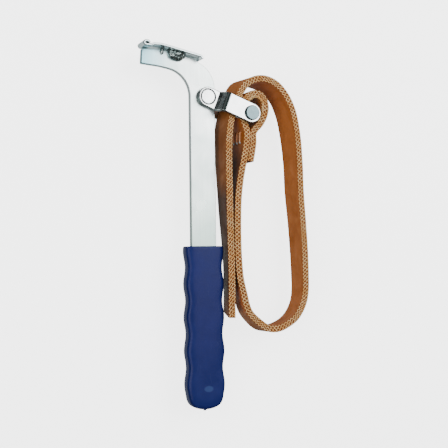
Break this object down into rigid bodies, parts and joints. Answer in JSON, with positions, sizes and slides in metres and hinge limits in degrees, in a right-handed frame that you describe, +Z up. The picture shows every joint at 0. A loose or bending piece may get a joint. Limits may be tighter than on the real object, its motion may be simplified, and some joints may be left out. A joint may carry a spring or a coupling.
{
  "type": "oil filter wrench",
  "caption": "Strap wrench for oil filters: flat steel handle with welded saddle, cranked link and a doubled canvas strap on a pin.",
  "frame": {"origin": "middle of the box's base, with the wrench lying flat as on a bench", "axes": "+Y along the handle bar from the grip to the head, +Z up, square to the bar's flat face and along every pivot axis"},
  "size_m": [0.1434, 0.2924, 0.0378],
  "materials": {
    "zinc_bar": "bright zinc plating over rolled steel, fine brushed grain",
    "zinc_saddle": "bright zinc plating, smooth",
    "weld_metal": "zinc plated weld metal, rippled",
    "link_steel": "bright zinc plating, polished",
    "rivet_steel": "bright zinc plating, turned",
    "blue_vinyl": "soft semi-gloss vinyl",
    "belt_canvas": "rubber-impregnated canvas",
    "staple_wire": "copper-washed wire"
  },
  "bodies": {
    "handle": {"handle_bar": "zinc_bar", "grip_sleeve": "blue_vinyl", "saddle_plate": "zinc_saddle", "weld_bead_front": "weld_metal", "weld_tack_front": "weld_metal", "weld_bead_rear": "weld_metal"},
    "link": {"link_plate_front": "link_steel", "link_plate_rear": "link_steel", "link_rivet": "rivet_steel", "strap_pin": "rivet_steel"},
    "strap": {"strap_ply_outer": "belt_canvas", "strap_ply_middle": "belt_canvas", "strap_ply_inner": "belt_canvas", "staple_near": "staple_wire", "staple_middle": "staple_wire", "staple_far": "staple_wire"}
  },
  "joints": [
    {"name": "link_pivot", "type": "hinge", "parent": "handle", "child": "link", "pos_m": [-0.01571, 0.10464, 0.0189], "axis": [0, 0, 1], "range_deg": [0, 60]},
    {"name": "strap_swing", "type": "hinge", "parent": "link", "child": "strap", "pos_m": [0.01818, 0.09163, 0.0189], "axis": [0, 0, 1], "range_deg": [0, 14]}
  ]
}
